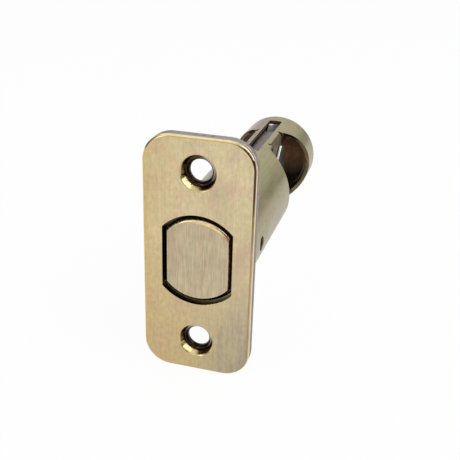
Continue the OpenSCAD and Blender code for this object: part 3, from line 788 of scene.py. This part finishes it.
plug = worked_copy("pin_plug", PLUG_EDGE, (BOLT_MILLED,))
stand_for(plug, "bolt_assembly", "bolt_brass", "pin_plug")

# Roller pin
# A ground pin of hardened steel that turns freely in the bolt, so a saw can't bite.
ROLLER_EDGE = 0.30
ROLLER_STEEL = (0.56, 0.57, 0.59)
ROLLER_OILED = (0.40, 0.38, 0.35)


def finish_ground_steel():
    """Steel with fine grinding lines round it and a film of oil."""
    material, tree, shader, coords = new_finish("ground_hardened_steel", 0.16)
    ground = grain(tree, coords, (0.9, 0.05, 0.9), detail=3)
    oil = grain(tree, coords, (3, 5, 3))
    colour = tint(tree, ROLLER_STEEL, spread(tree, oil, 0.5, 0.75, 0, 0.6), ROLLER_OILED)
    feed(tree, shader.inputs["Base Color"], colour)
    uneven_gloss(tree, shader, ground, 0.12, 0.24)
    relief(tree, shader, ground, 0.004, 0.5)
    return material


roller = worked_copy("roller_pin", ROLLER_EDGE, (finish_ground_steel(),))
stand_for(roller, "roller", "hardened_steel", "roller_pin")

# Tail bar
# A channel of rolled steel that is folded along its two upper edges. Its tongue is pinned in
# the bolt, and the crank works in the window near its rear end.
TAIL_EDGE = 0.10
TAIL_MAUVE = (0.165, 0.132, 0.122)
TAIL_LIGHT = (0.235, 0.205, 0.195)
TAIL_SCRATCH = (0.42, 0.38, 0.36)


def finish_rolled_steel():
    """Mauve mill scale with rolling lines along the bar and a few bright scratches."""
    material, tree, shader, coords = new_finish("rolled_tail_steel", 0.36)
    rolled = grain(tree, coords, (0.12, 12, 0.12), detail=3)
    scale = grain(tree, coords, (2.5, 5, 2.5), shift=(3, 3, 1))
    scratch = grain(tree, coords, (0.10, 3.5, 0.4), shift=(8, 1, 1))
    colour = tint(tree, TAIL_MAUVE, spread(tree, scale, 0.42, 0.70, 0, 0.8), TAIL_LIGHT)
    colour = shaded(tree, colour, spread(tree, rolled, 0.35, 0.65), 0.86, 1.10)
    colour = tint(tree, colour, spread(tree, scratch, 0.70, 0.78, 0, 0.5), TAIL_SCRATCH)
    feed(tree, shader.inputs["Base Color"], colour)
    uneven_gloss(tree, shader, scale, 0.30, 0.44)
    relief(tree, shader, rolled, 0.008, 0.5)
    return material


tail_bar = worked_copy("tail_bar", TAIL_EDGE, (finish_rolled_steel(),))
stand_for(tail_bar, "bolt_assembly", "tail_steel", "tail_bar")

# Pins and rivets
# Plain steel pins whose ends are peened to a low dome: two that join the tail bar to the
# bolt, and two that hold the hub's halves and the crank together.
PIN_STATIONS = 49
PIN_SIDES = 40
PIN_POINT = 0.001
TAIL_PIN_DOME = 0.25
HUB_RIVET_DOME = 0.18
HUB_RIVET_UPSET = 0.32
ZINC_BRIGHT = (0.57, 0.57, 0.55)
ZINC_DULL = (0.36, 0.34, 0.30)


class Growing:
    """A geometry tree under construction, with named inputs and short ways to link nodes."""

    def __init__(self, name):
        self.tree = bpy.data.node_groups.new(name, "GeometryNodeTree")
        for way in ("INPUT", "OUTPUT"):
            self.tree.interface.new_socket("Geometry", in_out=way,
                                           socket_type="NodeSocketGeometry")
        self.given = self.tree.nodes.new("NodeGroupInput")
        self.result = self.tree.nodes.new("NodeGroupOutput")
        self.keys = {}

    def size(self, name, kind="Float"):
        """A named input of the tree."""
        socket = self.tree.interface.new_socket(name, in_out="INPUT",
                                                socket_type="NodeSocket" + kind)
        self.keys[name] = socket.identifier
        return next(s for s in self.given.outputs if s.identifier == socket.identifier)

    def add(self, kind, inputs=(), **values):
        """A node with its attributes set and its inputs, by name or place, fed."""
        node = new_node(self.tree, "GeometryNode" + kind, **values)
        for key, value in dict(inputs).items():
            feed(self.tree, node.inputs[key], value)
        return node.outputs[0]

    def maths(self, operation, first, second=0.0, clamp=False):
        """One step of arithmetic in this tree."""
        return sums(self.tree, operation, first, second, clamp)

    def place(self, x=0.0, y=0.0, z=0.0):
        """A point from three numbers or outputs."""
        node = self.tree.nodes.new("ShaderNodeCombineXYZ")
        for key, value in (("X", x), ("Y", y), ("Z", z)):
            feed(self.tree, node.inputs[key], value)
        return node.outputs[0]

    def close(self, geometry):
        """Gives the tree its result."""
        feed(self.tree, self.result.inputs[0], geometry)

    def grow(self, name, **sizes):
        """Runs the tree with the given sizes and returns a plain mesh piece."""
        rough = bpy.data.objects.new(name + "_rough", bpy.data.meshes.new(name + "_rough"))
        scene.collection.objects.link(rough)
        maker = rough.modifiers.new(name, "NODES")
        maker.node_group = self.tree
        for key, value in sizes.items():
            maker[self.keys[key]] = value
        return plain_mesh(rough, name)


def peened_pins_tree():
    """Pins along X, turned as a row of rings whose radius follows the domed ends."""
    made = Growing("peened_pins")
    radius, length, dome, upset = [made.size(n) for n in ("Radius", "Length", "Dome", "Upset")]
    first, step = made.size("First", "Vector"), made.size("Step", "Vector")
    count, finish = made.size("Count", "Int"), made.size("Finish", "Material")
    turn = made.maths("MULTIPLY", made.add("InputIndex"), radians(180) / (PIN_STATIONS - 1))
    reach = made.maths("MULTIPLY", made.maths("COSINE", turn),
                       made.maths("MULTIPLY", length, -0.5))
    rings = made.add("MeshLine", {"Count": PIN_STATIONS, "Offset": (0, 0, 0)}, mode="OFFSET")
    rings = made.add("SetPosition", {"Geometry": rings, "Position": made.place(x=reach)})
    from_end = made.maths("SUBTRACT", made.maths("MULTIPLY", length, 0.5),
                          made.maths("ABSOLUTE", reach))
    rise = made.maths("DIVIDE", from_end, dome, clamp=True)
    in_head = made.maths("LESS_THAN", from_end, dome)
    fall = made.maths("SUBTRACT", 1.0, rise)
    swell = made.maths("SQRT", made.maths("SUBTRACT", 1.0, made.maths("MULTIPLY", fall, fall)))
    head = made.maths("ADD", radius, made.maths("MULTIPLY", in_head, upset))
    ring = made.maths("MAXIMUM", made.maths("MULTIPLY", head, swell), PIN_POINT * MM)
    path = made.add("MeshToCurve", {"Mesh": rings})
    round_wire = made.add("CurvePrimitiveCircle", {"Resolution": PIN_SIDES, "Radius": 1.0})
    pin = made.add("CurveToMesh", {"Curve": path, "Profile Curve": round_wire, "Scale": ring,
                                   "Fill Caps": True})
    spots = made.add("MeshLine", {"Count": count, "Start Location": first, "Offset": step},
                     mode="OFFSET")
    pins = made.add("InstanceOnPoints", {"Points": spots, "Instance": pin})
    pins = made.add("RealizeInstances", {"Geometry": pins})
    pins = made.add("SetShadeSmooth", {"Geometry": pins})
    made.close(made.add("SetMaterial", {"Geometry": pins, "Material": finish}))
    return made


def finish_zinc_plate():
    """Bright zinc on hammered heads, dull in places."""
    material, tree, shader, coords = new_finish("bright_zinc_plate", 0.26)
    hammered = grain(tree, coords, (0.5, 0.35, 0.35), detail=3)
    dull = grain(tree, coords, (1.4, 1.4, 1.4), shift=(4, 2, 2))
    colour = tint(tree, ZINC_BRIGHT, spread(tree, dull, 0.45, 0.75, 0, 0.8), ZINC_DULL)
    feed(tree, shader.inputs["Base Color"], colour)
    uneven_gloss(tree, shader, dull, 0.22, 0.38)
    relief(tree, shader, hammered, 0.03, 0.4)
    return material


def pin_pair(name, first_node, second_node, dome, upset):
    """Two like pins that stand in the places of two solids."""
    low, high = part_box(first_node)
    other_low, other_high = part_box(second_node)
    start, end = (low + high) / 2, (other_low + other_high) / 2
    return PINS.grow(name, Radius=(high.z - low.z) / 2, Length=high.x - low.x, Dome=dome * MM,
                     Upset=upset * MM, First=start, Step=end - start, Count=2, Finish=ZINC)


PINS = peened_pins_tree()
ZINC = finish_zinc_plate()
tail_pins = pin_pair("tail_pins", "tail_pin_upper", "tail_pin_lower", TAIL_PIN_DOME, 0.0)
stand_for(tail_pins, "bolt_assembly", "zinc_plated_steel", "tail_pin_upper", "tail_pin_lower")
hub_rivets = pin_pair("hub_rivets", "hub_rivet_front", "hub_rivet_rear",
                      HUB_RIVET_DOME, HUB_RIVET_UPSET)
stand_for(hub_rivets, "hub", "zinc_plated_steel", "hub_rivet_front", "hub_rivet_rear")

# Crank
# A stamped steel arm between the two halves of the hub, blackened, with a painted highlight
# on the left of its tip and painted shade on its right.
CRANK_EDGE = 0.28
CRANK_DARK = (0.105, 0.100, 0.102)
CRANK_LIGHT = (0.220, 0.212, 0.212)
CRANK_BRIGHT = (0.72, 0.72, 0.72)
CRANK_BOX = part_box("crank_arm")
CRANK_HIGHLIGHT_SPOT = Vector((-0.80, CRANK_BOX[1].y / MM - 1.7, CRANK_BOX[1].z / MM - 0.1)) * MM
CRANK_HIGHLIGHT_R = (0.95, 0.35)


def finish_crank():
    """Blackened steel, painted darker on its right, with a painted highlight on the tip's left.
    """
    material, tree, shader, coords = new_finish("blackened_crank_steel", 0.30)
    scale = grain(tree, coords, (1.1, 1.1, 1.1), detail=3)
    # Painted highlight: a bright spot on the left of the tip.
    distance = vector_sums(tree, "DISTANCE", coords, CRANK_HIGHLIGHT_SPOT)["Value"]
    rubbed = between(tree, distance, *CRANK_HIGHLIGHT_R)
    rubbed = sums(tree, "SUBTRACT", rubbed, spread(tree, scale, 0.5, 0.8, 0, 0.4), clamp=True)
    colour = tint(tree, CRANK_DARK, spread(tree, scale, 0.4, 0.75), CRANK_LIGHT)
    # Painted shade: darker towards the right.
    colour = shaded(tree, colour, along(tree, coords, "X", -0.2, 1.2), 1.0, 0.45)
    feed(tree, shader.inputs["Base Color"], tint(tree, colour, rubbed, CRANK_BRIGHT))
    uneven_gloss(tree, shader, scale, 0.24, 0.38)
    relief(tree, shader, scale, 0.02, 0.4)
    return material


crank_arm = worked_copy("crank_arm", CRANK_EDGE, (finish_crank(),), steps=3)
stand_for(crank_arm, "hub", "crank_steel", "crank_arm")

# Hub
# Two die-cast zinc halves that turn in the ears and take the lock's tailpiece. Each has a
# cam plate outside its ear, with a face that is left as cast and a bright rubbed edge.
HUB_EDGE = 0.12
CAM_T = 0.8
CAM_FACE_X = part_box("hub_right")[1].x / MM - 0.02
CAST_ZINC = (0.095, 0.092, 0.070)
CAST_SHADE = (0.055, 0.050, 0.036)
CAM_BRIGHT = (0.90, 0.90, 0.87)
CAM_DULL = (0.50, 0.49, 0.44)
CAM_INNER = (0.13, 0.105, 0.062)


def finish_cast_zinc():
    """Dark zinc with the fine grain of the casting."""
    material, tree, shader, coords = new_finish("cast_hub_zinc", 0.50)
    cast = grain(tree, coords, (0.6, 0.6, 0.6), detail=3)
    flow = grain(tree, coords, (2.5, 2.5, 2.5), shift=(5, 5, 2))
    colour = tint(tree, CAST_ZINC, spread(tree, flow, 0.4, 0.7), CAST_SHADE)
    feed(tree, shader.inputs["Base Color"], colour)
    uneven_gloss(tree, shader, cast, 0.44, 0.58)
    relief(tree, shader, cast, 0.03, 0.4)
    return material


def finish_rubbed_zinc():
    """The cam plates' edges, bright on their outer part and brown next to the ears."""
    material, tree, shader, coords = new_finish("rubbed_zinc_edge", 0.28)
    rub = grain(tree, coords, (0.8, 0.8, 2.5), detail=3)
    side_x = sums(tree, "ABSOLUTE", xyz_of(tree, coords)["X"])
    outer = between(tree, side_x, CAM_FACE_X - 0.62, CAM_FACE_X - 0.48)
    colour = tint(tree, CAM_BRIGHT, spread(tree, rub, 0.55, 0.8, 0, 0.3), CAM_DULL)
    colour = tint(tree, CAM_INNER, outer, colour)
    feed(tree, shader.inputs["Base Color"], colour)
    relief(tree, shader, rub, 0.01, 0.4)
    return material


HUB_FINISHES = (finish_rubbed_zinc(), finish_cast_zinc())
for side in ("right", "left"):
    half = worked_copy("hub_" + side, HUB_EDGE, HUB_FINISHES)
    give_slot(half, 1, lambda m, n: abs(n.x) > 0.9 or abs(m.x) < CAM_FACE_X - CAM_T)
    stand_for(half, "hub", "hub_zinc", "hub_" + side)

# End cap
# A dark brown moulding that closes the rear of the tube and carries the spring. Its smooth
# inside shows through the side openings.
CAP_EDGE = 0.20
CAP_BROWN = (0.140, 0.062, 0.013)
CAP_WORN = (0.240, 0.118, 0.034)
CAP_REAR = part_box("end_cap")[1].y / MM


def finish_end_cap():
    """Brown plastic with flow marks, painted shade that darkens the bottom inside, plain outside.
    """
    material, tree, shader, coords = new_finish("brown_end_cap", 0.34, CAP_BROWN, 0.0)
    flow = grain(tree, coords, (1.8, 6, 1.8), detail=3)
    orange_peel = grain(tree, coords, (0.35, 0.35, 0.35))
    oil = grain(tree, coords, (4, 4, 4), shift=(2, 5, 1))
    outside = along(tree, coords, "Y", CAP_REAR - 0.5, CAP_REAR - 0.1)
    worn = product(tree, spread(tree, flow, 0.42, 0.70), spread(tree, outside, 0, 1, 1.0, 0.3))
    # Painted shade: the inside turns nearly black towards the bottom.
    low_inside_shade = sums(tree, "SUBTRACT", along(tree, coords, "Z", -0.5, -6.5), outside, clamp=True)
    colour = tint(tree, CAP_BROWN, worn, CAP_WORN)
    colour = shaded(tree, colour, low_inside_shade, 1.0, 0.10)
    colour = shaded(tree, colour, outside, 1.0, 0.55)
    feed(tree, shader.inputs["Base Color"], colour)
    feed(tree, shader.inputs["Roughness"], spread(tree, oil, 0.35, 0.65, 0.26, 0.44))
    relief(tree, shader, orange_peel, 0.010, 0.4)
    return material


end_cap = worked_copy("end_cap", CAP_EDGE, (finish_end_cap(),))
stand_for(end_cap, "case", "brown_plastic", "end_cap")

# Detent spring and its rivet
# A leaf of hardened spring steel that is bowed up under the hub, where the crank's flats
# catch on its crown. A zinc plated rivet holds its rear end to the end cap and the tube.
LEAF_T = 0.4
LEAF_BOW = 12.3
LEAF_STATIONS = 97
LEAF_EDGE = 0.10
RIVET_HEAD = 0.6
RIVET_GAP = 0.05
RIVET_EDGE = 0.16
SPRING_BLUE = (0.34, 0.345, 0.37)
SPRING_STRAW = (0.27, 0.23, 0.20)


def bowed_leaf_tree():
    """A rounded strip along Y whose height follows one cosine bow with flats at both ends."""
    made = Growing("bowed_leaf")
    front, rear, axis, bow = [made.size(n) for n in ("Front", "Rear", "Axis", "Bow")]
    toe, seat, crown = [made.size(n) for n in ("Toe", "Seat", "Crown")]
    width, thick, edge = [made.size(n) for n in ("Width", "Thickness", "Edge")]
    finish = made.size("Finish", "Material")
    share = made.maths("DIVIDE", made.add("InputIndex"), LEAF_STATIONS - 1.0)
    length = made.maths("SUBTRACT", rear, front)
    y = made.maths("ADD", front, made.maths("MULTIPLY", share, length))
    away = made.maths("SUBTRACT", y, axis)
    turn = made.maths("DIVIDE", made.maths("ABSOLUTE", away), bow, clamp=True)
    wave = made.maths("COSINE", made.maths("MULTIPLY", turn, radians(180)))
    rise = made.maths("MULTIPLY", made.maths("ADD", wave, 1.0), 0.5)
    behind = made.maths("GREATER_THAN", away, 0.0)
    step = made.maths("SUBTRACT", seat, toe)
    foot = made.maths("ADD", toe, made.maths("MULTIPLY", behind, step))
    lift = made.maths("MULTIPLY", rise, made.maths("SUBTRACT", crown, foot))
    z = made.maths("ADD", made.maths("ADD", foot, lift), made.maths("MULTIPLY", thick, 0.5))
    line = made.add("MeshLine", {"Count": LEAF_STATIONS, "Offset": (0, 0, 0)}, mode="OFFSET")
    line = made.add("SetPosition", {"Geometry": line, "Position": made.place(y=y, z=z)})
    path = made.add("MeshToCurve", {"Mesh": line})
    path = made.add("SetCurveNormal", {"Curve": path}, mode="Z_UP")
    strip = made.add("CurvePrimitiveQuadrilateral", {"Width": width, "Height": thick})
    strip = made.add("FilletCurve", {"Curve": strip, "Radius": edge, "Count": 3}, mode="POLY")
    leaf = made.add("CurveToMesh", {"Curve": path, "Profile Curve": strip, "Fill Caps": True})
    leaf = made.add("RealizeInstances", {"Geometry": leaf})
    made.close(made.add("SetMaterial", {"Geometry": leaf, "Material": finish}))
    return made


def finish_spring_steel():
    """Steel with the blue and straw of tempering and lines along the leaf."""
    material, tree, shader, coords = new_finish("blued_spring_steel", 0.24)
    temper = grain(tree, coords, (3, 5, 3))
    lines = grain(tree, coords, (0.10, 8, 0.3), detail=3)
    colour = tint(tree, SPRING_BLUE, spread(tree, temper, 0.4, 0.7), SPRING_STRAW)
    colour = shaded(tree, colour, spread(tree, lines, 0.35, 0.65), 0.88, 1.08)
    feed(tree, shader.inputs["Base Color"], colour)
    relief(tree, shader, lines, 0.006, 0.5)
    return material


LEAF_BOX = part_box("detent_spring")
HUB_JOINT = next(j for j in frame["record"]["behaviour"]["joints"] if j["name"] == "hub_turn")
leaf_width = LEAF_BOX[1].x - LEAF_BOX[0].x
seat_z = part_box("spring_rivet")[1].z - (RIVET_HEAD + RIVET_GAP + LEAF_T) * MM
leaf = bowed_leaf_tree().grow(
    "detent_leaf", Front=LEAF_BOX[0].y, Rear=LEAF_BOX[1].y, Axis=HUB_JOINT["pos_m"][1],
    Bow=LEAF_BOW * MM, Toe=LEAF_BOX[0].z, Seat=seat_z, Crown=LEAF_BOX[1].z - LEAF_T * MM,
    Width=leaf_width, Thickness=LEAF_T * MM, Edge=LEAF_EDGE * MM, Finish=finish_spring_steel())
stand_for(leaf, "case", "spring_steel", "detent_spring")

rivet = worked_copy("spring_rivet", RIVET_EDGE, (ZINC,))
stand_for(rivet, "case", "zinc_plated_steel", "spring_rivet")
